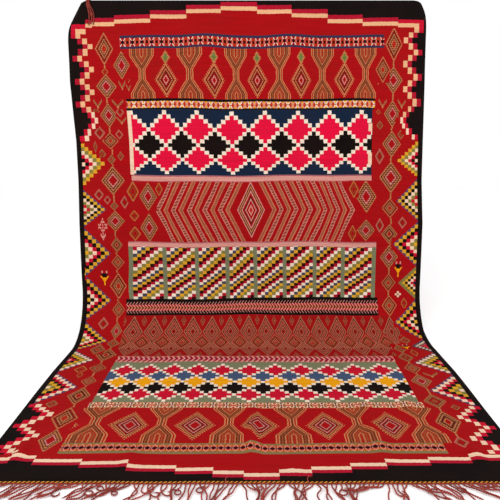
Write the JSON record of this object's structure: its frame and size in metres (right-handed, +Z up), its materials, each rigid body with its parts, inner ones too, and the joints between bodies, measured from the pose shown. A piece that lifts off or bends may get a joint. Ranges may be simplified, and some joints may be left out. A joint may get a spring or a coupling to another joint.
{
  "type": "flat-woven patterned wool rug",
  "caption": "Flat-woven wool rug with fringed ends, hung by its top edge and running out flat over the floor in front.",
  "frame": {"origin": "centre of the crest of the hung top edge", "axes": "+X across the cloth to the viewer's right, -Y out of the patterned side, +Z up"},
  "size_m": [1.6432, 1.5235, 1.5161],
  "materials": {
    "woven_wool": "matte flat-woven wool, deep red with bands of pattern in crimson, cream, black, navy, gold and green",
    "fringe_wool": "matte twisted wool yarn, faded red, with a gold and green twined edging",
    "top_fringe_wool": "matte twisted wool yarn, faded red, with a gold and green twined edging"
  },
  "bodies": {
    "root": {"woven_panel": "woven_wool", "front_fringe": "fringe_wool", "top_fringe": "top_fringe_wool"}
  },
  "joints": []
}
